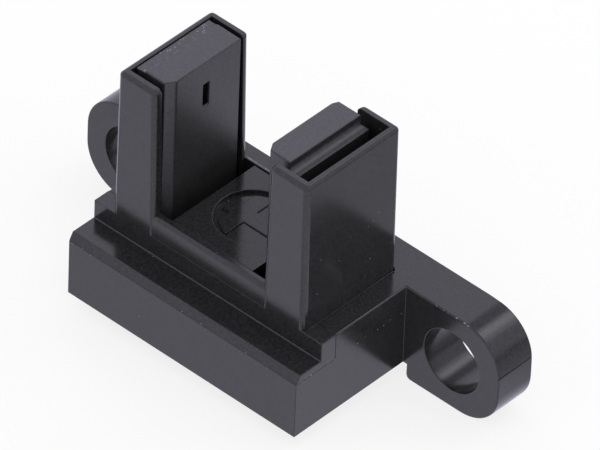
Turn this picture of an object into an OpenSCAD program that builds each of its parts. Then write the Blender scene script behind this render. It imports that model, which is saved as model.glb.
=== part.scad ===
// Slotted optical switch: a base with two screw ears, a case with two towers, and a light
// source and a detector that face each other across the slot, wired to a connector below.
// X runs across the slot, Y from the front face to the back, Z is up, in millimetres.
// The origin lies under the middle of the part, level with the feet of the ears.

/* [Slot and towers] */
// Clear width between the two towers at the deck
slot_w = 8.1; // [6.5:0.1:12]
// Width of one tower, measured across the slot
tower_w = 3.2; // [3:0.1:5]
// Depth of the towers from front to back
tower_d = 7.58; // [6.5:0.02:12]
// Height of the towers above the deck
tower_rise = 10.3; // [9:0.1:16]
// Thickness of the tower case's front and side walls
tower_wall = 0.55; // [0.4:0.05:0.8]
// Thickness of the tower case's back wall
tower_back_wall = 0.48; // [0.4:0.02:0.8]
// Radius of the towers' upright edges
tower_r = 0.35; // [0.3:0.05:0.5]
// Lean of the towers' outer sides between the deck and the top
draft = 0.12; // [0.02:0.02:0.2]
// Lean of the towers' walls at the slot, away from the slot
slot_draft = 0.25; // [0.05:0.05:0.4]
// Chamfer round the top edge of the towers
top_chamfer = 0.2; // [0.05:0.01:0.24]
// Height above the deck of the rims that join the towers
rim_rise = 1.45; // [0.6:0.05:3]
// Radius of the front rim's outer top edge
rim_r = 0.3; // [0.1:0.05:0.35]
// Thickness of the back rim
back_rim_t = 0.22; // [0.15:0.01:0.4]
// How far the rims lie behind the front and back faces of the towers
rim_set_back = 0.03; // [0.02:0.01:0.05]

/* [Front lip] */
// Depth of the ledge in front of the towers
step_y = 2; // [1.6:0.05:4]
// How far the lip of the tower case runs back past the tower fronts
lip_back = 1.17; // [0.7:0.01:2]
// Height of the ledge above the seam
ledge_rise = 0.5; // [0.2:0.05:1]
// Depth of the lip's front chamfer
lip_chamfer = 0.3; // [0.1:0.05:0.6]

/* [Base] */
// Height of the deck above the underside of the body
deck_h = 5.6; // [5:0.1:8]
// Height of the seam between the base and the tower case
seam_h = 3.85; // [3.5:0.05:4.6]
// Thickness of the base's side walls
side_wall = 1.35; // [1.2:0.05:2.5]
// Thickness of the base's front wall
front_wall = 1.2; // [0.8:0.05:1.5]
// Thickness of the base's back wall
back_wall = 2.05; // [1:0.05:4]
// Thickness of the base's floor
floor_t = 0.8; // [0.6:0.05:1.2]
// Width of the ledge inside the walls that carries the circuit board
board_ledge = 0.8; // [0.4:0.05:1]
// Diameter of the pegs that locate the tower case on the base
peg_d = 0.7; // [0.5:0.05:0.9]
// Length of those pegs
peg_l = 0.9; // [0.5:0.05:1.5]

/* [Screw ears] */
// Thickness of the ears
ear_t = 2.8; // [1.5:0.1:4]
// Distance from the side of the body to the centre of a screw hole
hole_out = 3.55; // [3:0.05:6]
// Distance from the centre of a screw hole to the end of its ear
ear_end = 3.5; // [3:0.05:5]
// Radius of the ears' outer corners
ear_r = 2.7; // [1:0.05:3]
// Diameter of the screw holes
hole_d = 4.1; // [3:0.1:4.6]
// How far the ears reach below the underside of the body
foot_drop = 1; // [0.5:0.05:2]
// Gap between the side of the body and the inner edge of the foot
foot_gap = 0.25; // [0.05:0.05:0.6]
// Radius of the foot's inner edge
foot_r = 0.35; // [0.1:0.05:0.45]

/* [Optics] */
// Width of an element holder, measured across the slot
holder_w = 2.5; // [2.3:0.05:2.6]
// Depth of an element holder
holder_d = 5.74; // [4.8:0.02:6]
// How far the holders stand above the top of the towers
holder_proud = 0.08; // [0:0.01:0.4]
// How much further back the detector's holder reaches than the emitter's
detector_tail = 0.12; // [0:0.02:0.2]
// Depth of the chamfer on the holders' front upright edges at the slot
holder_chamfer = 0.36; // [0.1:0.02:0.5]
// Length of that chamfer along the slot
holder_chamfer_l = 0.58; // [0.2:0.02:0.7]
// Chamfer on the detector holder's back upright edge at the slot
detector_chamfer = 0.06; // [0.04:0.02:0.3]
// Depth of the chamfer on the emitter holder's back upright edge at the slot
back_chamfer = 0.18; // [0.06:0.02:0.4]
// Length of that chamfer along the slot
back_chamfer_l = 0.42; // [0.1:0.02:0.6]
// Width of the lower strip along a holder's outer top edge
strip_w = 0.65; // [0.3:0.05:0.9]
// Depth of that strip below the top of the detector's holder
strip_drop = 0.12; // [0.06:0.02:0.4]
// Depth of that strip below the top of the emitter's holder
emitter_strip_drop = 0.66; // [0.06:0.02:0.7]
// Gap between the detector's holder and the wall of its tower
detector_gap = 0.06; // [0.04:0.02:0.3]
// Gap between the emitter's holder and the wall of its tower
emitter_gap = 1.1; // [0.6:0.05:1.3]
// Wall of the holders round the element's pocket
holder_wall = 0.7; // [0.65:0.01:0.75]
// Height of the optical axis above the deck
axis_rise = 8; // [6.5:0.1:8.2]
// How far the optical axis lies behind the middle of the holders
axis_back = 0.2; // [0:0.05:0.5]
// Width of the light slits
slit_w = 0.5; // [0.3:0.05:1]
// Height of the light slits
slit_h = 1.6; // [1:0.1:2.4]
// Thickness of the wall that the light slits are cut in
slit_wall = 0.2; // [0.1:0.05:0.3]
// Room round a slit behind that wall
slit_room = 0.3; // [0.1:0.05:0.5]
// Height of the detector and emitter packages
element_h = 3.2; // [3:0.1:4.4]
// How far the lens on each package stands out of it, towards the slit
lens_proud = 0.2; // [0.05:0.05:0.3]
// Spacing of the detector's leads
lead_pitch = 1.27; // [1:0.01:1.5]
// Width of a lead
lead_w = 0.4; // [0.3:0.05:0.5]
// Thickness of a lead
lead_t = 0.25; // [0.15:0.05:0.4]

/* [Element carrier] */
// Thickness of the carrier's plate
plate_t = 0.8; // [0.5:0.05:1.2]
// Depth of the plate below the rims
plate_drop = 0.05; // [0:0.05:0.6]
// Gap between the plate and the detector's holder
plate_gap = 0.87; // [0.3:0.01:1]
// Gap between the plate and the emitter's holder
emitter_plate_gap = 0.3; // [0.2:0.01:1]
// Thickness of the walls that carry the plate
plate_leg = 0.6; // [0.4:0.05:0.8]
// Margin between the round recess in the plate and the plate's nearest edge
recess_margin = 0.7; // [0.2:0.02:1]
// Depth of that recess
recess_t = 0.25; // [0.1:0.05:0.35]
// Width of the arms of the raised cross in the recess
cross_w = 1.1; // [0.4:0.1:1.6]
// How far the cross lies to the left of the recess's middle
cross_off = 0.85; // [0:0.05:1]
// Height of that cross
cross_t = 0.1; // [0.05:0.01:0.2]
// Gap between the cross's arms and the wall of the recess
cross_gap = 0.3; // [0.1:0.05:0.6]

/* [Circuit board and connector] */
// Thickness of the circuit board
board_t = 0.8; // [0.6:0.1:1]
// Diameter of the board's plated holes
board_hole_d = 0.8; // [0.75:0.05:1]
// Width of the connector, measured across the slot
conn_w = 6; // [5.6:0.1:6.4]
// Depth of the connector
conn_d = 4.6; // [3.6:0.1:5]
// Wall of the connector
conn_wall = 0.5; // [0.4:0.05:0.8]
// Thickness of the connector's roof, which holds the pins
conn_roof = 1.2; // [0.8:0.05:1.5]
// Width of the flange that rests on the base's floor
conn_flange = 0.5; // [0.2:0.05:0.6]
// Thickness of that flange
conn_flange_t = 0.6; // [0.4:0.05:0.9]
// Width of the keying groove in the connector's front wall
key_w = 1.6; // [0.8:0.1:2.4]
// Spacing of the connector's pins
pin_pitch = 1.5; // [1.25:0.05:1.6]
// Width of a connector pin
pin_w = 0.5; // [0.4:0.05:0.5]
// How far the pins stop short of the connector's mouth
pin_set_back = 0.6; // [0.3:0.05:1]
// Length of a chip part
chip_l = 1.6; // [1:0.1:1.6]
// Width of a chip part
chip_w = 0.6; // [0.4:0.05:0.6]
// Height of a chip part
chip_h = 0.45; // [0.3:0.05:0.7]
// Gap between the chip parts and their neighbours on the board
chip_gap = 0.55; // [0.3:0.05:0.7]
// Length of a chip part's end caps
chip_cap = 0.3; // [0.2:0.05:0.4]
// Radius of a solder joint on the board
solder_r = 0.5; // [0.45:0.05:0.55]
// Radius of a solder joint's narrow end
solder_tip_r = 0.37; // [0.36:0.01:0.42]
// Height of a solder joint
solder_h = 0.4; // [0.2:0.05:0.6]
// How far the leads and pins stand out of their solder joints
lead_tail = 0.2; // [0.05:0.05:0.4]

/* [Fits] */
// Clearance between pieces that slide together
fit = 0.05; // [0.02:0.01:0.1]

/* [Hidden] */
$fn = 64;
// Overshoot of a cut past the face that it opens
cut = 1;
// Sides of the faceted cones that a tower is drawn round
corner_fn = 32;

// Outline of the towers and of the cavity inside the tower case
tower_out = slot_w / 2 + tower_w;
tower_back = step_y + tower_d;
tower_top = deck_h + tower_rise;
cavity_out = tower_out - tower_wall;
cavity_front = step_y + tower_wall;
cavity_back = tower_back - tower_back_wall;
rim_top = deck_h + rim_rise;
rim_front = step_y + rim_set_back;
rim_back = tower_back - rim_set_back;
middle_back = rim_back - back_rim_t;
lip_d = step_y + lip_back;

// Outline of the base, which is fitted round the tower case
opening_out = tower_out + fit;
opening_back = tower_back + fit;
body_l = 2 * (opening_out + side_wall);
body_d = opening_back + back_wall;

// Ears
hole_x = body_l / 2 + hole_out;
ear_x = hole_x + ear_end;
ear_mid_h = (deck_h - foot_drop) / 2;
foot_x = body_l / 2 + foot_gap;

// Pegs in the middle of the side walls, under the lip
peg_x = opening_out + side_wall / 2;
peg_y = lip_d / 2;

// Circuit board, with its top level with the seam
board_z = seam_h - board_t;
board_y = front_wall + fit;
board_back = opening_back - fit;
board_mid_y = (cavity_front + cavity_back) / 2;

// Holders, which stand on the board inside the towers
axis_z = deck_h + axis_rise;
axis_y = board_mid_y + axis_back;
holder_top = tower_top + holder_proud;
holder_h = holder_top - seam_h;
detector_x = -cavity_out + detector_gap + holder_w / 2;
emitter_x = cavity_out - emitter_gap - holder_w / 2;
element_w = holder_w - 2 * holder_wall - 2 * fit;
element_d = holder_d - 2 * holder_wall - 2 * fit;
element_top = axis_z + element_h / 2;
element_z = axis_z - element_h / 2;
lens_r = slit_w / 2 - fit;
lead_l = element_z - board_z + solder_h + lead_tail;

// Carrier plate, between the holders
plate_x0 = detector_x + holder_w / 2 + plate_gap;
plate_x1 = emitter_x - holder_w / 2 - emitter_plate_gap;
plate_y0 = cavity_front + fit;
plate_y1 = middle_back - fit;
plate_top = rim_top - plate_drop;
recess_x = (plate_x0 + plate_x1) / 2;
recess_r = min(plate_x1 - recess_x, plate_y1 - axis_y) - recess_margin;

// Connector, with its mouth level with the feet of the ears
conn_z = -foot_drop;
conn_socket_h = board_z - conn_roof - conn_z;
pin_z = conn_z + pin_set_back;
pin_l = seam_h + solder_h + lead_tail - pin_z;
pin_xs = [-pin_pitch, 0, pin_pitch];

// Chip parts beside the row of pins
chip_off = solder_r + chip_gap + chip_w / 2;
chip_x = (chip_l + chip_gap) / 2;

// Moves what is measured from the front face and the underside of the body to the origin
module placed() {
    translate([0, -body_d / 2, foot_drop])
        children();
}

// Box between two corners
module block(low, high) {
    translate(low)
        cube(high - low);
}

// One screw ear seen from the front, right of the body, measured from the body's underside
module ear_outline() {
    neck_x = body_l / 2 - cut;
    bend_x = ear_x - ear_r;
    translate([neck_x, 0])
        square([bend_x - neck_x, deck_h]);
    translate([foot_x + foot_r, -foot_drop])
        square([bend_x - foot_x - foot_r, deck_h + foot_drop]);
    translate([foot_x, -foot_drop + foot_r])
        square([bend_x - foot_x, deck_h + foot_drop - foot_r]);
    translate([foot_x + foot_r, -foot_drop + foot_r])
        circle(foot_r);
    translate([bend_x, -foot_drop + ear_r])
        square([ear_r, deck_h + foot_drop - 2 * ear_r]);
    for (z = [-foot_drop + ear_r, deck_h - ear_r])
        translate([bend_x, z])
            circle(ear_r);
}

// Both ears with their screw holes
module ears() {
    for (side = [0, 1])
        mirror([side, 0, 0])
            translate([0, body_d, 0])
                rotate([90, 0, 0])
                    difference() {
                        linear_extrude(ear_t)
                            ear_outline();
                        translate([hole_x, ear_mid_h, -cut])
                            cylinder(h = ear_t + 2 * cut, d = hole_d);
                    }
}

// Holes for the pegs, or the pegs themselves
module peg_pair(d, l) {
    for (side = [-1, 1])
        translate([side * peg_x, peg_y, seam_h - l])
            cylinder(h = l + fit, d = d);
}

// Outline of the tower case under the deck, from above, with room round it
module tower_footprint(room) {
    out = tower_out + room;
    back = tower_back + room;
    r = tower_r + room;
    translate([-out, step_y])
        square([2 * out, back - r - step_y]);
    translate([-out + r, step_y])
        square([2 * (out - r), back - step_y]);
    for (side = [-1, 1])
        translate([side * (out - r), back - r])
            circle(r);
}

// Open tub that takes the board, with the tower case let in from above
module base_case() {
    color("#1a1b1e")
        placed()
            difference() {
                union() {
                    block([-body_l / 2, 0, 0], [body_l / 2, body_d, deck_h]);
                    ears();
                }
                block([-body_l / 2 - cut, -cut, seam_h], [body_l / 2 + cut, lip_d, deck_h + cut]);
                block([-opening_out, front_wall, board_z], [opening_out, opening_back, seam_h]);
                translate([0, 0, seam_h])
                    linear_extrude(deck_h - seam_h + cut)
                        tower_footprint(fit);
                block(
                    [-opening_out + board_ledge, front_wall + board_ledge, floor_t],
                    [opening_out - board_ledge, opening_back - board_ledge, seam_h]
                );
                block(
                    [-conn_w / 2 - fit, board_mid_y - conn_d / 2 - fit, -cut],
                    [conn_w / 2 + fit, board_mid_y + conn_d / 2 + fit, floor_t + cut]
                );
                peg_pair(peg_d + 2 * fit, peg_l + fit);
            }
}

// One corner of a tower, leaning across the slot by so much and chamfered at its top
module tower_corner(lean) {
    upright = tower_rise - top_chamfer;
    multmatrix([[1, 0, lean / tower_rise, 0], [0, 1, 0, 0], [0, 0, 1, 0], [0, 0, 0, 1]]) {
        cylinder(h = upright, r = tower_r, $fn = corner_fn);
        translate([0, 0, upright])
            cylinder(h = top_chamfer, r1 = tower_r, r2 = tower_r - top_chamfer, $fn = corner_fn);
    }
}

// One solid tower, right of the slot, before the cavity is cut
module tower() {
    hull()
        for (y = [step_y + tower_r, tower_back - tower_r]) {
            translate([slot_w / 2 + tower_r, y, deck_h])
                tower_corner(slot_draft);
            translate([tower_out - tower_r, y, deck_h])
                tower_corner(-draft);
        }
}

// Lip over the base's front wall, seen from the side
module lip_outline() {
    polygon([
        [0, seam_h],
        [lip_chamfer, seam_h + ledge_rise],
        [step_y, seam_h + ledge_rise],
        [step_y, deck_h],
        [lip_d, deck_h],
        [lip_d, seam_h]
    ]);
}

// Both rims seen from the side, before the cavity is cut
module rim_outline() {
    bend_z = rim_top - rim_r;
    translate([rim_front, seam_h])
        square([rim_back - rim_front, bend_z - seam_h]);
    translate([rim_front + rim_r, seam_h])
        square([rim_back - rim_front - rim_r, rim_top - seam_h]);
    translate([rim_front + rim_r, bend_z])
        circle(rim_r);
}

// Extrudes an outline that is seen from the side, across the middle of the part
module across(width) {
    translate([-width / 2, 0, 0])
        rotate([90, 0, 90])
            linear_extrude(width)
                children();
}

// Towers, rims and front lip in one moulding, open at the top, at the slot and below
module tower_case() {
    color("#1a1b1e")
        placed()
            difference() {
                union() {
                    across(body_l)
                        lip_outline();
                    translate([0, 0, seam_h])
                        linear_extrude(deck_h - seam_h)
                            tower_footprint(0);
                    across(slot_w + 2 * tower_r)
                        rim_outline();
                    for (side = [0, 1])
                        mirror([side, 0, 0])
                            tower();
                    peg_pair(peg_d, peg_l);
                }
                block(
                    [-cavity_out, cavity_front, seam_h - cut],
                    [cavity_out, cavity_back, tower_top + cut]
                );
                block(
                    [-slot_w / 2, cavity_front, seam_h - cut],
                    [slot_w / 2, middle_back, rim_top + cut]
                );
            }
}

// Raised cross in the carrier's recess
module recess_cross() {
    intersection() {
        cylinder(h = cross_t, r = recess_r - cross_gap);
        translate([-cross_off, 0, 0])
            for (turn = [0, 90])
                rotate(turn)
                    translate([-2 * recess_r, -cross_w / 2, 0])
                        cube([4 * recess_r, cross_w, cross_t]);
    }
}

// Floor of the slot, on two walls that stand on the board
module element_carrier() {
    color("#191a1d")
        placed() {
            difference() {
                block([plate_x0, plate_y0, seam_h], [plate_x1, plate_y1, plate_top]);
                block(
                    [plate_x0 - cut, plate_y0 + plate_leg, seam_h - cut],
                    [plate_x1 + cut, plate_y1 - plate_leg, plate_top - plate_t]
                );
                translate([recess_x, axis_y, plate_top - recess_t])
                    cylinder(h = recess_t + cut, r = recess_r);
            }
            translate([recess_x, axis_y, plate_top - recess_t])
                recess_cross();
        }
}

// Holder outline from above, with the slot on the right
module holder_outline(tail, corner) {
    back = holder_d / 2 + tail;
    polygon([
        [-holder_w / 2, -holder_d / 2],
        [holder_w / 2 - holder_chamfer, -holder_d / 2],
        [holder_w / 2, -holder_d / 2 + holder_chamfer_l],
        [holder_w / 2, back - corner.y],
        [holder_w / 2 - corner.x, back],
        [-holder_w / 2, back]
    ]);
}

// Hollow post with a light slit towards the slot, which is on its right
module holder(drop, tail, corner) {
    pocket = [element_w + 2 * fit, element_d + 2 * fit, element_top - seam_h + cut];
    room = [holder_w / 2 - slit_wall, slit_w + 2 * slit_room, slit_h + 2 * slit_room];
    difference() {
        translate([0, 0, seam_h])
            linear_extrude(holder_h)
                holder_outline(tail, corner);
        translate([-pocket.x / 2, -pocket.y / 2, seam_h - cut])
            cube(pocket);
        translate([0, axis_back - room.y / 2, axis_z - room.z / 2])
            cube(room);
        translate([0, axis_back - slit_w / 2, axis_z - slit_h / 2])
            cube([holder_w, slit_w, slit_h]);
        translate([-holder_w / 2 - cut, -holder_d / 2 - cut, holder_top - drop])
            cube([strip_w + cut, holder_d + tail + 2 * cut, drop + cut]);
    }
}

// Holder of the light detector, left of the slot
module detector_holder() {
    color("#191a1d")
        placed()
            translate([detector_x, board_mid_y, 0])
                holder(strip_drop, detector_tail, [detector_chamfer, detector_chamfer]);
}

// Holder of the light source, right of the slot
module emitter_holder() {
    color("#191a1d")
        placed()
            translate([emitter_x, board_mid_y, 0])
                mirror([1, 0, 0])
                    holder(emitter_strip_drop, 0, [back_chamfer, back_chamfer_l]);
}

// Moulded package with a lens towards the slot, which is on its right
module element() {
    translate([-element_w / 2, -element_d / 2, element_z])
        cube([element_w, element_d, element_h]);
    translate([element_w / 2, axis_back, axis_z])
        rotate([0, 90, 0])
            cylinder(h = lens_proud, r = lens_r);
}

// Straight lead from a package down through the board
module lead(x, y) {
    translate([x - lead_t / 2, board_mid_y + y - lead_w / 2, element_z - lead_l])
        cube([lead_t, lead_w, lead_l]);
}

module photo_ic() {
    color("#24262a")
        placed()
            translate([detector_x, board_mid_y, 0])
                element();
}

module photo_ic_lead_supply() {
    color("silver")
        placed()
            lead(detector_x, -lead_pitch);
}

module photo_ic_lead_output() {
    color("silver")
        placed()
            lead(detector_x, 0);
}

module photo_ic_lead_ground() {
    color("silver")
        placed()
            lead(detector_x, lead_pitch);
}

module infrared_led() {
    color("#3b4a5c")
        placed()
            translate([emitter_x, board_mid_y, 0])
                mirror([1, 0, 0])
                    element();
}

module led_lead_anode() {
    color("silver")
        placed()
            lead(emitter_x, -lead_pitch);
}

module led_lead_cathode() {
    color("silver")
        placed()
            lead(emitter_x, lead_pitch);
}

// Places of the leads on the board
function lead_places() = concat(
    [for (y = [-lead_pitch, 0, lead_pitch]) [detector_x, board_mid_y + y]],
    [for (y = [-lead_pitch, lead_pitch]) [emitter_x, board_mid_y + y]]
);

// Places of the connector's pins on the board
function pin_places() = [for (x = pin_xs) [x, board_mid_y]];

// Board between the base and the tower case, drilled for leads and pins
module circuit_board() {
    color("#1f6b45")
        placed()
            difference() {
                block([-tower_out, board_y, board_z], [tower_out, board_back, seam_h]);
                for (place = concat(lead_places(), pin_places()))
                    translate([place.x, place.y, board_z - cut])
                        cylinder(h = board_t + 2 * cut, d = board_hole_d);
            }
}

// Socket that opens downwards, held by its flange on the base's floor
module connector_housing() {
    half = [conn_w / 2, conn_d / 2];
    color("#202124")
        placed()
            translate([0, board_mid_y, 0])
                difference() {
                    union() {
                        block([-half.x, -half.y, conn_z], [half.x, half.y, board_z]);
                        block(
                            [-half.x - conn_flange, -half.y - conn_flange, floor_t],
                            [half.x + conn_flange, half.y + conn_flange, floor_t + conn_flange_t]
                        );
                    }
                    block(
                        [-half.x + conn_wall, -half.y + conn_wall, conn_z - cut],
                        [half.x - conn_wall, half.y - conn_wall, conn_z + conn_socket_h]
                    );
                    block([-key_w / 2, -half.y - cut, conn_z - cut], [key_w / 2, 0, -fit]);
                    for (x = pin_xs)
                        pin(x, fit);
                }
}

// Square pin from the socket up through the roof and the board
module pin(x, clear) {
    side = pin_w + 2 * clear;
    translate([x - side / 2, -side / 2, pin_z - clear])
        cube([side, side, pin_l + 2 * clear]);
}

module connector_pin(x) {
    color("goldenrod")
        placed()
            translate([0, board_mid_y, 0])
                pin(x, 0);
}

module connector_pin_supply() {
    connector_pin(-pin_pitch);
}

module connector_pin_output() {
    connector_pin(0);
}

module connector_pin_ground() {
    connector_pin(pin_pitch);
}

// Chip part on the board, with an end cap proud of its body at each end
module chip(x, y, body_colour) {
    placed()
        translate([x, board_mid_y + y, seam_h]) {
            color(body_colour)
                translate([-chip_l / 2, -chip_w / 2 + fit, 0])
                    cube([chip_l, chip_w - 2 * fit, chip_h - fit]);
            color("silver")
                for (end = [-1, 1])
                    translate([end * (chip_l - chip_cap) / 2 - chip_cap / 2, -chip_w / 2, 0])
                        cube([chip_cap, chip_w, chip_h]);
        }
}

module led_resistor() {
    chip(-chip_x, -chip_off, "#2b2b2b");
}

module pull_up_resistor() {
    chip(chip_x, -chip_off, "#2b2b2b");
}

module bypass_capacitor() {
    chip(0, chip_off, "#b08b63");
}

// Cone of solder round a lead or pin, with its wide end on the board
module solder(place, up) {
    translate([place.x, place.y, up ? seam_h : board_z - solder_h])
        cylinder(
            h = solder_h,
            r1 = up ? solder_r : solder_tip_r,
            r2 = up ? solder_tip_r : solder_r
        );
}

// Joints under the board at the leads and on top of it at the pins
module solder_joints() {
    color("lightgrey")
        placed()
            difference() {
                union() {
                    for (place = lead_places())
                        solder(place, false);
                    for (place = pin_places())
                        solder(place, true);
                }
                for (y = [-lead_pitch, 0, lead_pitch])
                    lead(detector_x, y);
                for (y = [-lead_pitch, lead_pitch])
                    lead(emitter_x, y);
                translate([0, board_mid_y, 0])
                    for (x = pin_xs)
                        pin(x, 0);
            }
}

base_case();
tower_case();
element_carrier();
detector_holder();
emitter_holder();
photo_ic();
photo_ic_lead_supply();
photo_ic_lead_output();
photo_ic_lead_ground();
infrared_led();
led_lead_anode();
led_lead_cathode();
circuit_board();
connector_housing();
connector_pin_supply();
connector_pin_output();
connector_pin_ground();
led_resistor();
pull_up_resistor();
bypass_capacitor();
solder_joints();
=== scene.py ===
import math

import bmesh
import bpy
from mathutils import Matrix, Vector


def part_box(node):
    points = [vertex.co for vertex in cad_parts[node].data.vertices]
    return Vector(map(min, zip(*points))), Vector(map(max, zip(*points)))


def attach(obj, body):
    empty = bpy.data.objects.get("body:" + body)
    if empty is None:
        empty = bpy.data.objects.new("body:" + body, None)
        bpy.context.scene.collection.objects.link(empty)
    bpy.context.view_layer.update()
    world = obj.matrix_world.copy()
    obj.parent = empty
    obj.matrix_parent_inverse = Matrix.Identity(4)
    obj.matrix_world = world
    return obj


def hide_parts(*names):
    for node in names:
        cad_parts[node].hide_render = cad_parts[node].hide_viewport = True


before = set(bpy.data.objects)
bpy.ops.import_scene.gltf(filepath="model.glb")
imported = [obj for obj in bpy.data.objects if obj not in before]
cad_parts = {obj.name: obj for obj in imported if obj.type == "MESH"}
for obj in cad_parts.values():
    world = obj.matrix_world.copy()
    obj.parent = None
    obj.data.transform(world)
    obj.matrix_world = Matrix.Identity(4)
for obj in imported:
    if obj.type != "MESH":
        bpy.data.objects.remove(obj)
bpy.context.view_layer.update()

# Sizes are in millimetres, and the scene is in metres
MM = 0.001

# Places that the solids give
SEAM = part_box("circuit_board")[1].z / MM
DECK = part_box("base_case")[1].z / MM
EAR_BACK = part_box("base_case")[1].y / MM
EAR_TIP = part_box("base_case")[1].x / MM
TOWER_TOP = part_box("tower_case")[1].z / MM
TOWER_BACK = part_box("tower_case")[1].y / MM
BODY_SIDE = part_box("tower_case")[1].x / MM
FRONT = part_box("tower_case")[0].y / MM
HOLDER_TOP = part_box("detector_holder")[1].z / MM
HOLDER_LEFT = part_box("detector_holder")[0].x / MM
HOLDER_MIDDLE = (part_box("emitter_holder")[0].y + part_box("emitter_holder")[1].y) / 2 / MM

# Sizes of the mouldings that no box gives
LEDGE_RISE = 0.5
LEDGE_DEPTH = 2
DECK_END = 1.4
EAR_THICKNESS = 2.8
RIM_RISE = 1.45
RIM_SET_BACK = 0.03
BACK_RIM_THICKNESS = 0.22
TOP_CHAMFER = 0.2
STRIP_WIDTH = 0.65
HOLE_TO_TIP = 3.5
HOLE_HEIGHT = 3.3
HOLE_RADIUS = 2.05

# Places that follow from them
LEDGE = SEAM + LEDGE_RISE
STEP = FRONT + LEDGE_DEPTH
TOWER_SIDE = BODY_SIDE - DECK_END
EAR_FRONT = EAR_BACK - EAR_THICKNESS
RIM_TOP = DECK + RIM_RISE
RIM_BACK = TOWER_BACK - RIM_SET_BACK
STRIP_EDGE = HOLDER_LEFT + STRIP_WIDTH
HOLE_MIDDLE = Vector((EAR_TIP - HOLE_TO_TIP, 0, HOLE_HEIGHT))

# How far the slot's wall ends and the rims' straight stretches reach in X, and the parting groove's height
SLOT_SIDE = 4.6
RIM_HALF = 3.9
PARTING_LINE = 4.1

# Stretch of the right ear's top front edge that is chipped
CHIPPED_STRETCH = (11.4, 13.6)

# Radii of the moulded edges, and the chamfer width under which a corner is closed before it is rounded
CASE_EDGE = 0.05
WALL_END_EDGE = 0.03
CHAMFER_EDGE = 0.06
LEDGE_FILLET = 0.08
BACK_RIM_EDGE = 0.14
DECK_END_EDGE = 0.1
EAR_FILLET = 0.03
EAR_EDGE = 0.1
HOLE_EDGE = 0.05
HOLDER_EDGE = 0.06
HOLDER_TOP_EDGE = 0.12
HOLDER_CORNER = 0.1
STRIP_STEP_EDGE = 0.1
CARRIER_EDGE = 0.05
CONNECTOR_EDGE = 0.06
LEAD_EDGE = 0.03
SMALL_CORNER = 0.1

# Height and reach of the towers' flared foot
FOOT_FLARE = (0.06, 0.045)

# Half height and depth of the ears' parting groove, and the share of its height that is its floor
PARTING_GROOVE = (0.035, 0.06)
GROOVE_FLOOR = 0.8

# How much wear the moulded edges have, or how pale a painted highlight on them: nearly sound, chipped,
# painted step highlight, or painted rim highlight
SOUND = 0.3
CHIPPED = 1.12
PAINTED_STEP_HIGHLIGHT = 1.1
PAINTED_RIM_HIGHLIGHT = 1.6
EDGE_WEAR_AND_HIGHLIGHT = "edge_wear_and_highlight"

# Distance that counts as beside a place, as at it, and in metres as one point
NEAR = 0.2
TOUCH = 0.01
WELD = 1e-7

# Turns at an edge: within FLAT its faces are one plane, past SHARP it is rounded, under STEEP it is a
# chamfer's, past CREASE in a corner it is kept sharp, and under SMOOTH it is shaded smoothly
FLAT = math.radians(0.2)
SHARP = math.radians(25)
STEEP = math.radians(65)
CREASE = math.radians(20)
SMOOTH = math.radians(35)

# Least part of a direction along an axis for it to be mostly, nearly and squarely along it
MOSTLY = 0.5
NEARLY = 0.9
SQUARELY = 0.95

# Material slots that tell flat faces from rounded ones while a piece is made
FLAT_SLOT = 0
ROUNDED_SLOT = 1

# Way that the holders' chamfered front corners face, sideways and forwards; faces turned that way get a
# painted highlight
CORNER_FACING = Vector((0.85, 0.527))

# Hidden pieces and their finishes
PAD_RADIUS = 0.62
CHIP_CAP = 0.3
WEAVE = 28
DETECTOR_LEADS = ["photo_ic_lead_supply", "photo_ic_lead_output", "photo_ic_lead_ground"]
EMITTER_LEADS = ["led_lead_anode", "led_lead_cathode"]
PINS = ["connector_pin_supply", "connector_pin_output", "connector_pin_ground"]
CHIPS = {
    "led_resistor": (0.03, 0.03, 0.032, 1),
    "pull_up_resistor": (0.03, 0.03, 0.032, 1),
    "bypass_capacitor": (0.36, 0.24, 0.13, 1),
}

# Camera, at the photograph's viewing angle, with its clipping range in metres
IMAGE_WIDTH = 600
FOCAL_PIXELS = 12000
SENSOR = 36
VIEW_AZIMUTH = math.radians(41.369)
VIEW_ELEVATION = math.radians(40.788)
VIEW_ROLL = math.radians(2.327)
VIEW_DISTANCE = 666.844
VIEW_AIM = Vector((1.299, 2.285, 7.072))
CLIP = (0.01, 20)

# Whites of the studio
COOL_WHITE = (0.97, 0.94, 1.13, 1)
WHITE = (1, 1, 1, 1)
PAPER = (0.95, 0.97, 0.84, 1)

# Floor: its half width in metres, where it turns white, how white it shows beside the part, and where and
# how much it dims in reflections
FLOOR_HALF = 3.0
FLOOR_CLEAR = (24, 60)
FLOOR_SHOWN = 0.8
FLOOR_MIRRORED = 0.95
DIM_TOWARD = (0.66, 0.75, 0)
DIM_FROM = (14, 21)
DIM = 0.42

# Dim gap low in the surroundings: the way to it, its soft edges across and up, and how dim it is
GAP_TOWARD = (0.81, 0.58, 0)
GAP_ACROSS = (0.6, 0.95)
GAP_UP = (0.08, 0.3)
GAP_DIM = 0.55

# Dim patch between the softboxes overhead: the way to it, its soft edge and how dim it is
OVERHEAD_TOWARD = (-0.2, 0.568, 0.798)
OVERHEAD_ACROSS = (0.97, 0.995)
OVERHEAD_DIM = 0.36

# Softboxes: place and size in metres, and power in watts
SOFTBOXES = {
    "right_softbox": ((0.14, 0.347, 0.48), (0.12, 0.3), 0.11),
    "right_softbox_rim": ((0.16, 0.347, 0.475), (0.26, 0.34), 0.24),
    "top_softbox": ((-0.4, 0.325, 0.38), (0.28, 0.28), 0.07),
}


def solid_of(node):
    """The node's solid, with its flat faces whole again."""
    shape = bmesh.new()
    shape.from_mesh(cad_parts[node].data)
    bmesh.ops.remove_doubles(shape, verts=shape.verts, dist=WELD)
    bmesh.ops.dissolve_limit(shape, angle_limit=FLAT, verts=shape.verts, edges=shape.edges)
    return shape


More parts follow.
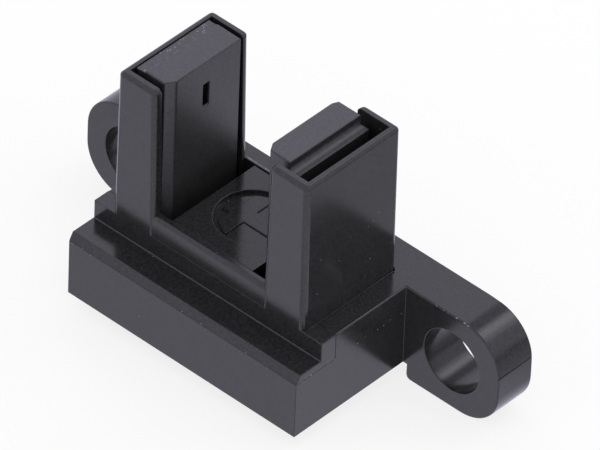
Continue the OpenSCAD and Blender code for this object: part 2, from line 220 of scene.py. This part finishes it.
def turn(edge):
    """Angle between an edge's faces, above 0 on an outer edge and below 0 in a corner."""
    return edge.calc_face_angle_signed(0)


def middle(edge):
    """Middle of an edge, in millimetres."""
    return (edge.verts[0].co + edge.verts[1].co) / 2 / MM


def face_middle(face):
    """Middle of a face, in millimetres."""
    return face.calc_center_median() / MM


def runs(edge):
    """Direction of an edge, with no sign."""
    along = (edge.verts[1].co - edge.verts[0].co).normalized()
    return Vector(abs(part) for part in along)


def moulded_piece(name, node, shape, radius_of, wear_and_highlight_of, segments=3):
    """A piece that stands for a node, with each edge rounded by radius_of, and given wear or a pale
    painted highlight by the function after it.
    """
    weight = shape.edges.layers.float.new("bevel_weight_edge")
    radii = {edge: radius_of(edge) for edge in shape.edges}
    widest = max(radii.values())
    for edge, radius in radii.items():
        edge[weight] = radius / widest
    mesh = bpy.data.meshes.new(name)
    shape.to_mesh(mesh)
    shape.free()
    piece = bpy.data.objects.new(name, mesh)
    bpy.context.scene.collection.objects.link(piece)
    for slot in (FLAT_SLOT, ROUNDED_SLOT):
        mesh.materials.append(None)
    rounding = piece.modifiers.new("rounding", "BEVEL")
    rounding.limit_method = "WEIGHT"
    rounding.width = widest * MM
    rounding.segments = segments
    rounding.material = ROUNDED_SLOT
    rounding.use_clamp_overlap = False
    ready = piece.evaluated_get(bpy.context.evaluated_depsgraph_get())
    piece.data = bpy.data.meshes.new_from_object(ready)
    piece.modifiers.clear()
    bpy.data.meshes.remove(mesh)
    mark_edges(piece.data, wear_and_highlight_of)
    even = piece.modifiers.new("even_normals", "WEIGHTED_NORMAL")
    even.keep_sharp = True
    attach(piece, "root")
    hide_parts(node)
    return piece


def mark_edges(mesh, wear_and_highlight_of):
    """Keeps the wear, or the strength of a painted highlight, of the rounded edges in an attribute, and
    shades the mesh smoothly.
    """
    flat = {v for face in mesh.polygons if face.material_index == FLAT_SLOT for v in face.vertices}
    wear_or_highlight = mesh.attributes.new(EDGE_WEAR_AND_HIGHLIGHT, "FLOAT", "POINT")
    for vert in mesh.vertices:
        wear_or_highlight.data[vert.index].value = 0 if vert.index in flat else wear_and_highlight_of(vert.co / MM)
    mesh.polygons.foreach_set("material_index", [FLAT_SLOT] * len(mesh.polygons))
    mesh.polygons.foreach_set("use_smooth", [True] * len(mesh.polygons))
    mesh.materials.clear()
    mesh.set_sharp_from_angle(angle=SMOOTH)


def tower_case_radius(edge):
    """Rounding of the tower case: its chamfered tops, its back wall ends, its back rim and its ledge."""
    at = middle(edge)
    if turn(edge) < -SHARP:
        on_ledge = abs(at.z - LEDGE) < TOUCH and abs(at.y - STEP) < TOUCH
        return LEDGE_FILLET if on_ledge else 0
    if turn(edge) < SHARP or at.z < SEAM - TOUCH:
        return 0
    if at.z > TOWER_TOP - TOP_CHAMFER - TOUCH:
        return CHAMFER_EDGE if turn(edge) < STEEP else WALL_END_EDGE
    if abs(at.z - RIM_TOP) < TOUCH and at.y > 0:
        return BACK_RIM_EDGE if abs(at.y - RIM_BACK) < TOUCH else 0
    if runs(edge).z > NEARLY and abs(at.x) < SLOT_SIDE:
        return WALL_END_EDGE if at.y > HOLDER_MIDDLE else 0
    return CASE_EDGE


def base_case_radius(edge):
    """Rounding of the base: its ears more than its walls, and a fillet where an ear meets the body."""
    at = middle(edge)
    beside_body = abs(abs(at.x) - BODY_SIDE) < TOUCH
    if turn(edge) < -SHARP:
        return EAR_FILLET if beside_body and abs(at.y - EAR_FRONT) < TOUCH else 0
    if turn(edge) < SHARP:
        return 0
    if beside_body and abs(at.z - DECK) < TOUCH:
        return DECK_END_EDGE
    from_hole = Vector((abs(at.x), 0, at.z)) - HOLE_MIDDLE
    if from_hole.length < HOLE_RADIUS + TOUCH:
        return HOLE_EDGE
    return EAR_EDGE if abs(at.x) > BODY_SIDE + TOUCH else CASE_EDGE


def holder_radius(edge):
    """Rounding of a holder: its top edges and its front corner more than the rest."""
    at = middle(edge)
    if turn(edge) < SHARP:
        return 0
    if runs(edge).z > NEARLY and turn(edge) < STEEP and at.y < HOLDER_MIDDLE:
        return HOLDER_CORNER
    if abs(at.z - HOLDER_TOP) > TOUCH:
        return HOLDER_EDGE
    on_strip_step = runs(edge).y > NEARLY and abs(at.x) > SLOT_SIDE
    return STRIP_STEP_EDGE if on_strip_step else HOLDER_TOP_EDGE


def plain_radius(radius):
    """Rounding that is the same on every outer edge."""
    return lambda edge: radius if turn(edge) > SHARP else 0


def tower_case_wear_and_highlight(at):
    """Wear of the tower case's edges, with a pale painted highlight along the back rim's top edge."""
    on_back_rim = abs(at.z - RIM_TOP) < NEAR and at.y > RIM_BACK - NEAR
    return PAINTED_RIM_HIGHLIGHT if on_back_rim else SOUND


def base_case_wear(at):
    """Wear of the base's edges: a stretch of the right ear's top front edge is chipped."""
    start, end = CHIPPED_STRETCH
    on_stretch = start < at.x < end and at.z > DECK - NEAR and at.y < EAR_FRONT + NEAR
    return CHIPPED if on_stretch else SOUND


def detector_wear_and_highlight(at):
    """Wear of the detector's holder, with a pale painted highlight along the edge beside its lower strip.
    """
    on_step = abs(at.x - STRIP_EDGE) < NEAR and at.z > HOLDER_TOP - NEAR
    return PAINTED_STEP_HIGHLIGHT if on_step else SOUND


def plain_wear(at):
    """Wear of edges that are nearly sound."""
    return SOUND


def slice_faces(shape, faces, point, normal):
    """Cuts those faces of a shape along the plane through a point, in millimetres."""
    parts = set(faces)
    for face in faces:
        parts.update(face.edges)
        parts.update(face.verts)
    bmesh.ops.bisect_plane(shape, geom=list(parts), plane_co=Vector(point) * MM, plane_no=normal)


def close_small_corners(shape):
    """Closes the chamfers that are too small to be rounded on both sides."""
    short = [edge for edge in shape.edges if edge.calc_length() < SMALL_CORNER * MM]
    bmesh.ops.collapse(shape, edges=short)


def divide_back_rim(shape):
    """Divides the back rim near its ends, so that its edge is rounded evenly up to there."""
    rim_front = RIM_BACK - BACK_RIM_THICKNESS - TOUCH
    for side in (-1, 1):
        behind = [face for face in shape.faces if face_middle(face).y > rim_front]
        rim = [face for face in behind if abs(face_middle(face).x) < NEAR]
        slice_faces(shape, rim, (side * RIM_HALF, 0, 0), (1, 0, 0))


def flare_foot(shape):
    """Flares the foot of the towers' outer sides, up to the edge of the base's opening."""
    height, reach = FOOT_FLARE
    for level in (DECK, DECK + height):
        sides = [face for face in shape.faces if abs(face_middle(face).x) > TOWER_SIDE - NEAR]
        slice_faces(shape, sides, (0, 0, level), (0, 0, 1))
    shape.normal_update()
    for vert in shape.verts:
        at = vert.co / MM
        faces_out = abs(vert.normal.x) > SQUARELY and abs(at.x) > TOWER_SIDE - NEAR
        if faces_out and abs(at.z - DECK) < TOUCH:
            vert.co.x += vert.normal.x * reach * MM


def cut_parting_line(piece):
    """Cuts the fine groove that the mould's two halves leave across the end of each ear."""
    half, depth = PARTING_GROOVE
    floor = GROOVE_FLOOR * half
    shape = bmesh.new()
    shape.from_mesh(piece.data)
    for offset in (-half, -floor, floor, half):
        ends = [face for face in shape.faces if abs(face_middle(face).x) > EAR_TIP - NEAR]
        slice_faces(shape, ends, (0, 0, PARTING_LINE + offset), (0, 0, 1))
    shape.normal_update()
    for vert in shape.verts:
        on_floor = abs(vert.co.z / MM - PARTING_LINE) < (floor + half) / 2
        if on_floor and abs(vert.co.x) / MM > EAR_TIP - NEAR:
            vert.co.x -= vert.normal.x * depth * MM
    for edge in shape.edges:
        at = middle(edge)
        if abs(at.z - PARTING_LINE) < half + TOUCH and abs(at.x) > EAR_TIP - NEAR:
            edge.smooth = runs(edge).y < MOSTLY
    shape.to_mesh(piece.data)
    shape.free()


def keep_creases(piece):
    """Keeps the creases sharp where the rims run into the towers' rounded corners."""
    shape = bmesh.new()
    shape.from_mesh(piece.data)
    for edge in shape.edges:
        at = middle(edge)
        if turn(edge) < -CREASE and abs(at.x) < SLOT_SIDE and DECK < at.z < RIM_TOP + TOUCH:
            edge.smooth = False
    shape.to_mesh(piece.data)
    shape.free()


def make_pieces():
    """The mouldings that show, by name."""
    towers = solid_of("tower_case")
    divide_back_rim(towers)
    flare_foot(towers)
    detector = solid_of("detector_holder")
    close_small_corners(detector)
    rules = {
        "base": ("base_case", solid_of("base_case"), base_case_radius, base_case_wear),
        "towers": ("tower_case", towers, tower_case_radius, tower_case_wear_and_highlight),
        "carrier": (
            "element_carrier", solid_of("element_carrier"), plain_radius(CARRIER_EDGE), plain_wear
        ),
        "detector": ("detector_holder", detector, holder_radius, detector_wear_and_highlight),
        "emitter": ("emitter_holder", solid_of("emitter_holder"), holder_radius, plain_wear),
        "connector": (
            "connector_housing", solid_of("connector_housing"), plain_radius(CONNECTOR_EDGE), plain_wear
        ),
    }
    pieces = {
        name: moulded_piece(node + "_moulding", node, shape, radius_of, wear_and_highlight_of)
        for name, (node, shape, radius_of, wear_and_highlight_of) in rules.items()
    }
    cut_parting_line(pieces["base"])
    keep_creases(pieces["towers"])
    return pieces


class Wire:
    """A shader socket that Python's operators work on, each one adding a Math node."""

    def __init__(self, tree, socket):
        self.tree = tree
        self.socket = socket

    @classmethod
    def node(cls, tree, kind, settings=None, sockets=None, output=0):
        """Adds a node, makes its settings, fills its sockets and gives one output, or those of a list."""
        made = tree.nodes.new(kind)
        for setting, value in (settings or {}).items():
            setattr(made, setting, value)
        for socket, value in (sockets or {}).items():
            if isinstance(value, Wire):
                tree.links.new(value.socket, made.inputs[socket])
            else:
                made.inputs[socket].default_value = value
        if not len(made.outputs):
            return None
        if isinstance(output, list):
            return [cls(tree, made.outputs[name]) for name in output]
        return cls(tree, made.outputs[output])

    def math(self, operation, *values):
        """Result of a Math node on those values."""
        return Wire.node(self.tree, "ShaderNodeMath", {"operation": operation}, dict(enumerate(values)))

    def __add__(self, other):
        return self.math("ADD", self, other)

    def __radd__(self, other):
        return self.math("ADD", other, self)

    def __sub__(self, other):
        return self.math("SUBTRACT", self, other)

    def __rsub__(self, other):
        return self.math("SUBTRACT", other, self)

    def __mul__(self, other):
        return self.math("MULTIPLY", self, other)

    def __rmul__(self, other):
        return self.math("MULTIPLY", other, self)

    def __lt__(self, other):
        return self.math("LESS_THAN", self, other)

    def __gt__(self, other):
        return self.math("GREATER_THAN", self, other)

    def __abs__(self):
        return self.math("ABSOLUTE", self)

    def __or__(self, other):
        return self.math("MAXIMUM", self, other)


def blank_material(name):
    """A material with an empty node tree."""
    material = bpy.data.materials.new(name)
    material.use_nodes = True
    material.node_tree.nodes.clear()
    return material, material.node_tree


def finish_surface(tree, sockets):
    """Ends a material's tree in one shader with those sockets."""
    shader = Wire.node(tree, "ShaderNodeBsdfPrincipled", None, sockets, "BSDF")
    Wire.node(tree, "ShaderNodeOutputMaterial", None, {"Surface": shader})


def place_of(tree):
    """A surface point's place in the part, in millimetres."""
    point = Wire.node(tree, "ShaderNodeTexCoord", output="Object")
    return Wire.node(
        tree, "ShaderNodeVectorMath", {"operation": "SCALE"}, {"Vector": point, "Scale": 1 / MM}, "Vector"
    )


def stretched(tree, place, scales):
    """A place with each axis multiplied by its own scale."""
    return Wire.node(
        tree, "ShaderNodeVectorMath", {"operation": "MULTIPLY"}, {0: place, 1: scales}, "Vector"
    )


def axes_of(tree, place):
    """The three parts of a place or a direction."""
    return Wire.node(tree, "ShaderNodeSeparateXYZ", None, {0: place}, ["X", "Y", "Z"])


def reach_along(tree, place, way):
    """How far a place or a direction reaches along a way."""
    return Wire.node(
        tree, "ShaderNodeVectorMath", {"operation": "DOT_PRODUCT"}, {0: place, 1: way}, "Value"
    )


def sine(value):
    """Sine of a value."""
    return value.math("SINE", value)


def noise(tree, place, per_mm, detail=2):
    """Soft noise from 0 to 1, with so many lumps to a millimetre."""
    return Wire.node(
        tree, "ShaderNodeTexNoise", None, {"Vector": place, "Scale": per_mm, "Detail": detail}, "Fac"
    )


def step(tree, value, low, high):
    """Smooth step from 0 at low to 1 at high."""
    return Wire.node(
        tree, "ShaderNodeMapRange", {"interpolation_type": "SMOOTHSTEP"},
        {"Value": value, "From Min": low, "From Max": high}, "Result"
    )


def between(tree, mask, first, second):
    """A colour that goes from the first to the second as the mask goes from 0 to 1."""
    return Wire.node(
        tree, "ShaderNodeMix", {"data_type": "RGBA"}, {0: mask, 6: first, 7: second}, 2
    )


def bumped(tree, height, strength, depth=0.01):
    """A surface normal that follows a height, where a height of 1 is so many millimetres."""
    return Wire.node(
        tree, "ShaderNodeBump", None, {"Height": height, "Strength": strength, "Distance": depth * MM}
    )


def grey(level, blue=1.0):
    """A grey colour, with its blue part multiplied by blue."""
    return (level, level, level * blue, 1)


def dust(tree, place, per_mm, size, share):
    """Small specks of dust on a share of the cells of a grid."""
    reach, colour = Wire.node(
        tree, "ShaderNodeTexVoronoi", {"voronoi_dimensions": "3D", "feature": "F1"},
        {"Vector": place, "Scale": per_mm}, ["Distance", "Color"]
    )
    chosen = Wire.node(tree, "ShaderNodeSeparateColor", None, {0: colour}, 0) < share
    return (reach < size) * chosen


def settled_dust(tree, place, top):
    """Dust along the front's seam, on the detector's strip and, thinly, everywhere."""
    across, along, height = axes_of(tree, place)
    near_seam = (1 - step(tree, abs(height - SEAM), 0.05, 0.16)) * (along < EAR_FRONT - NEAR)
    on_seam = dust(tree, place, per_mm=5, size=0.17, share=0.3) * near_seam
    on_strip = dust(tree, place, per_mm=5, size=0.24, share=0.5) * (top * (across < STRIP_EDGE))
    stray = dust(tree, place, per_mm=2.5, size=0.07, share=0.05)
    return on_seam | stray | on_strip


def edge_chips_and_highlights(tree, place):
    """Chips along the edges, the more the more wear they have, and pale painted highlights along edges
    marked for them.
    """
    wear_or_highlight = Wire.node(tree, "ShaderNodeAttribute", {"attribute_name": EDGE_WEAR_AND_HIGHLIGHT}, None, "Fac")
    return step(tree, noise(tree, place, per_mm=5, detail=4) + 0.34 * wear_or_highlight, 0.88, 0.98)


def holder_faces(tree, place):
    """Masks of the holders' tops and of their front corners, where a painted sheen makes them paler."""
    facing = Wire.node(tree, "ShaderNodeTexCoord", output="Normal")
    sideways, backwards, upwards = axes_of(tree, facing)
    height = axes_of(tree, place)[2]
    top = step(tree, upwards, 0.85, 0.97) * (height > HOLDER_TOP - NEAR)
    cornerwards = abs(sideways) * CORNER_FACING.x - backwards * CORNER_FACING.y
    return top, step(tree, cornerwards, 0.93, 0.97)


def moulded_plastic(name, tone, gloss, grain, frost_and_painted_sheen=0.0, ior=1.5):
    """Black moulded plastic: mottled and grained, with chipped edges, dust and pale painted edge
    highlights; on the holders, rougher tops, and tops and front corners painted paler as a painted sheen.
    """
    material, tree = blank_material(name)
    place = place_of(tree)
    top, corner = (frost_and_painted_sheen * mask for mask in holder_faces(tree, place))
    cloud = noise(tree, place, per_mm=0.7, detail=4)
    fine = noise(tree, place, per_mm=13, detail=3)
    mottle = noise(tree, place, per_mm=5, detail=1)
    chips_and_highlights = edge_chips_and_highlights(tree, place)
    specks = settled_dust(tree, place, top)
    body = between(tree, 0.2 * cloud + 0.8 * mottle, grey(tone * 0.05, 0.92), grey(tone * 1.95, 0.92))
    pale = between(tree, mottle, grey(0.04), grey(0.08))
    # Painted sheen: the holders' tops and front corners are painted a paler grey than the body
    with_painted_sheen = between(tree, top | 0.75 * corner, body, pale)
    # Chipped edges, and the edges marked for painted highlights, turn pale grey here
    chipped = between(tree, chips_and_highlights, with_painted_sheen, grey(0.36))
    dusty = between(tree, specks * 0.7, chipped, grey(0.36))
    rough = gloss + 0.05 * (cloud - 0.5) + 0.06 * (fine - 0.5) + 0.3 * (specks | chips_and_highlights) + 0.2 * top
    relief = 0.6 * fine + noise(tree, place, per_mm=6)
    finish_surface(tree, {
        "Base Color": dusty,
        "Roughness": rough,
        "IOR": ior,
        "Normal": bumped(tree, relief, grain),
    })
    return material


def epoxy(name, colour):
    """Clear-cast resin of an optical package, a little cloudy."""
    material, tree = blank_material(name)
    place = place_of(tree)
    cloud = noise(tree, place, per_mm=1.2, detail=3)
    deep = tuple(part * 0.6 for part in colour[:3]) + (1,)
    finish_surface(tree, {
        "Base Color": between(tree, cloud, deep, colour),
        "Roughness": 0.12 + 0.12 * cloud,
        "IOR": 1.55,
        "Normal": bumped(tree, noise(tree, place, per_mm=9), 0.05),
    })
    return material


def drawn_metal(name, dull, bright, streak):
    """Plated metal with marks drawn along its length."""
    material, tree = blank_material(name)
    place = stretched(tree, place_of(tree), streak)
    marks = noise(tree, place, per_mm=6, detail=3)
    finish_surface(tree, {
        "Base Color": between(tree, marks, dull, bright),
        "Metallic": 1,
        "Roughness": 0.22 + 0.25 * marks,
        "Normal": bumped(tree, marks, 0.15),
    })
    return material


def board_laminate(name, pads):
    """Green board with the weave of its glass under the mask, and a bare ring round each hole."""
    material, tree = blank_material(name)
    place = place_of(tree)
    x, y, _ = axes_of(tree, place)
    weave = sine(x * WEAVE) * sine(y * WEAVE)
    flat_place = stretched(tree, place, (1, 1, 0))
    ring = None
    for centre in pads:
        reach = Wire.node(
            tree, "ShaderNodeVectorMath", {"operation": "DISTANCE"}, {0: flat_place, 1: centre}, "Value"
        )
        ring = reach < PAD_RADIUS if ring is None else ring | (reach < PAD_RADIUS)
    mask = between(tree, 0.5 + 0.3 * weave, (0.012, 0.10, 0.045, 1), (0.03, 0.17, 0.08, 1))
    finish_surface(tree, {
        "Base Color": between(tree, ring, mask, (0.62, 0.6, 0.56, 1)),
        "Metallic": ring,
        "Roughness": 0.34 + 0.06 * noise(tree, place, per_mm=3),
        "Normal": bumped(tree, weave, 0.12),
    })
    return material


def chip_ceramic(name, colour, centre, cap_start):
    """Ceramic chip body with tinned ends, past cap_start from its middle."""
    material, tree = blank_material(name)
    place = place_of(tree)
    caps = abs(axes_of(tree, place)[0] - centre) > cap_start
    speckle = noise(tree, place, per_mm=14)
    dark = tuple(part * 0.7 for part in colour[:3]) + (1,)
    finish_surface(tree, {
        "Base Color": between(tree, caps, between(tree, speckle, dark, colour), (0.66, 0.65, 0.62, 1)),
        "Metallic": caps,
        "Roughness": 0.5 - 0.15 * caps + 0.1 * speckle,
        "Normal": bumped(tree, speckle, 0.2),
    })
    return material


def centre_of(node):
    """Middle of a node's box, in millimetres."""
    low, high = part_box(node)
    return (low + high) / 2 / MM


def paint_node(node, material, edge=0.0):
    """Gives a node that is shown as it is its material, with its edges rounded a little."""
    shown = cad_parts[node]
    shown.data.materials.clear()
    shown.data.materials.append(material)
    if edge:
        weld = shown.modifiers.new("weld", "WELD")
        weld.merge_threshold = WELD
        rounding = shown.modifiers.new("rounding", "BEVEL")
        rounding.width = edge * MM
        rounding.segments = 2
        rounding.angle_limit = SHARP


def paint_hidden_nodes():
    """Finishes of what the mouldings hold inside."""
    tin = drawn_metal("tinned_lead", grey(0.52), grey(0.76), (1, 1, 0.08))
    brass = drawn_metal("pin_brass", (0.62, 0.42, 0.15, 1), (0.85, 0.66, 0.32, 1), (1, 1, 0.06))
    solder = drawn_metal("reflowed_solder", grey(0.45), grey(0.7), (1, 1, 1))
    for lead in DETECTOR_LEADS + EMITTER_LEADS:
        paint_node(lead, tin, LEAD_EDGE)
    for pin in PINS:
        paint_node(pin, brass, LEAD_EDGE)
    paint_node("solder_joints", solder)
    paint_node("photo_ic", epoxy("detector_resin", (0.03, 0.022, 0.024, 1)), LEAD_EDGE)
    paint_node("infrared_led", epoxy("emitter_resin", (0.09, 0.13, 0.19, 1)), LEAD_EDGE)
    pads = [centre_of(node) * Vector((1, 1, 0)) for node in DETECTOR_LEADS + EMITTER_LEADS + PINS]
    paint_node("circuit_board", board_laminate("board_laminate", pads))
    for chip, colour in CHIPS.items():
        low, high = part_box(chip)
        cap_start = (high.x - low.x) / 2 / MM - CHIP_CAP
        paint_node(chip, chip_ceramic(chip + "_finish", colour, centre_of(chip).x, cap_start))


def dress(pieces):
    """Gives each moulding its plastic; the table also names the record's slot that each stands for, which
    is not used here.
    """
    case = moulded_plastic("case_plastic", tone=0.0175, gloss=0.18, grain=0.08)
    carrier = moulded_plastic("carrier_plastic", tone=0.0175, gloss=0.13, grain=0.08, ior=1.42)
    holder = moulded_plastic("holder_plastic", tone=0.024, gloss=0.33, grain=0.3, frost_and_painted_sheen=1)
    connector = moulded_plastic("connector_plastic", tone=0.02, gloss=0.34, grain=0.2)
    finishes = {
        "base": (case, "case_plastic"),
        "towers": (case, "case_plastic"),
        "carrier": (carrier, "holder_plastic"),
        "detector": (holder, "holder_plastic"),
        "emitter": (holder, "holder_plastic"),
        "connector": (connector, "connector_plastic"),
    }
    for name, (material, slot) in finishes.items():
        pieces[name].data.materials.append(material)


def add_camera():
    """A long lens that looks at the part from its front right, above."""
    data = bpy.data.cameras.new("camera")
    data.sensor_width = SENSOR
    data.lens = FOCAL_PIXELS * SENSOR / IMAGE_WIDTH
    data.clip_start, data.clip_end = CLIP
    back = Vector((
        math.sin(VIEW_AZIMUTH) * math.cos(VIEW_ELEVATION),
        -math.cos(VIEW_AZIMUTH) * math.cos(VIEW_ELEVATION),
        math.sin(VIEW_ELEVATION),
    ))
    level = back.to_track_quat("Z", "Y")
    camera = bpy.data.objects.new("camera", data)
    turned = level.to_matrix().to_4x4() @ Matrix.Rotation(VIEW_ROLL, 4, "Z")
    camera.matrix_world = Matrix.Translation((VIEW_AIM + back * VIEW_DISTANCE) * MM) @ turned
    bpy.context.scene.collection.objects.link(camera)
    bpy.context.scene.camera = camera


def add_floor():
    """A pale floor that keeps the part's shadow, turns white away from it and mirrors dimly behind it."""
    corners = [(-1, -1), (1, -1), (1, 1), (-1, 1)]
    mesh = bpy.data.meshes.new("floor")
    mesh.from_pydata([(x * FLOOR_HALF, y * FLOOR_HALF, 0) for x, y in corners], [], [(0, 1, 2, 3)])
    floor = bpy.data.objects.new("floor", mesh)
    bpy.context.scene.collection.objects.link(floor)
    material, tree = blank_material("floor")
    place = place_of(tree)
    reach = Wire.node(tree, "ShaderNodeVectorMath", {"operation": "LENGTH"}, {0: place}, "Value")
    away = step(tree, reach, *FLOOR_CLEAR)
    behind = step(tree, reach_along(tree, place, DIM_TOWARD), *DIM_FROM)
    camera, glossy, clear = Wire.node(
        tree, "ShaderNodeLightPath", None, None, ["Is Camera Ray", "Is Glossy Ray", "Is Transmission Ray"]
    )
    mirrored = between(tree, DIM * behind, COOL_WHITE, grey(0))
    white = Wire.node(
        tree, "ShaderNodeEmission", None, {"Color": between(tree, glossy, WHITE, mirrored), "Strength": 1}
    )
    paper = Wire.node(tree, "ShaderNodeBsdfDiffuse", None, {"Color": PAPER})
    seen = (camera | clear) * (FLOOR_SHOWN + (1 - FLOOR_SHOWN) * away)
    shown = seen | glossy * (FLOOR_MIRRORED + (1 - FLOOR_MIRRORED) * away)
    top = Wire.node(tree, "ShaderNodeMixShader", None, {0: shown, 1: paper, 2: white})
    under = Wire.node(tree, "ShaderNodeNewGeometry", output="Backfacing")
    nothing = Wire.node(tree, "ShaderNodeBsdfTransparent")
    surface = Wire.node(tree, "ShaderNodeMixShader", None, {0: under, 1: top, 2: nothing})
    Wire.node(tree, "ShaderNodeOutputMaterial", None, {"Surface": surface})
    mesh.materials.append(material)


def light_studio():
    """White surroundings, dim low on the right behind and between the softboxes overhead."""
    world = bpy.data.worlds.new("studio")
    world.use_nodes = True
    tree = world.node_tree
    tree.nodes.clear()
    direction = Wire.node(tree, "ShaderNodeTexCoord", output="Generated")
    height = axes_of(tree, direction)[2]
    low = 1 - step(tree, abs(height), *GAP_UP)
    gap = step(tree, reach_along(tree, direction, GAP_TOWARD), *GAP_ACROSS) * low
    overhead = step(tree, reach_along(tree, direction, OVERHEAD_TOWARD), *OVERHEAD_ACROSS)
    around = between(tree, GAP_DIM * gap | OVERHEAD_DIM * overhead, COOL_WHITE, grey(0))
    path = Wire.node(tree, "ShaderNodeLightPath", output="Is Camera Ray")
    colour = between(tree, path, around, WHITE)
    sky = Wire.node(tree, "ShaderNodeBackground", None, {"Color": colour, "Strength": 1})
    Wire.node(tree, "ShaderNodeOutputWorld", None, {"Surface": sky})
    bpy.context.scene.world = world
    for name, (place, size, power) in SOFTBOXES.items():
        add_softbox(name, place, size, power)


def add_softbox(name, place, size, power):
    """A soft lamp that faces the part."""
    data = bpy.data.lights.new(name, "AREA")
    data.shape = "RECTANGLE"
    data.size, data.size_y = size
    data.energy = power
    lamp = bpy.data.objects.new(name, data)
    lamp.location = place
    lamp.rotation_mode = "QUATERNION"
    lamp.rotation_quaternion = Vector(place).to_track_quat("Z", "Y")
    lamp.visible_camera = False
    bpy.context.scene.collection.objects.link(lamp)


bpy.context.scene.view_settings.view_transform = "Standard"
dress(make_pieces())
paint_hidden_nodes()
add_camera()
add_floor()
light_studio()
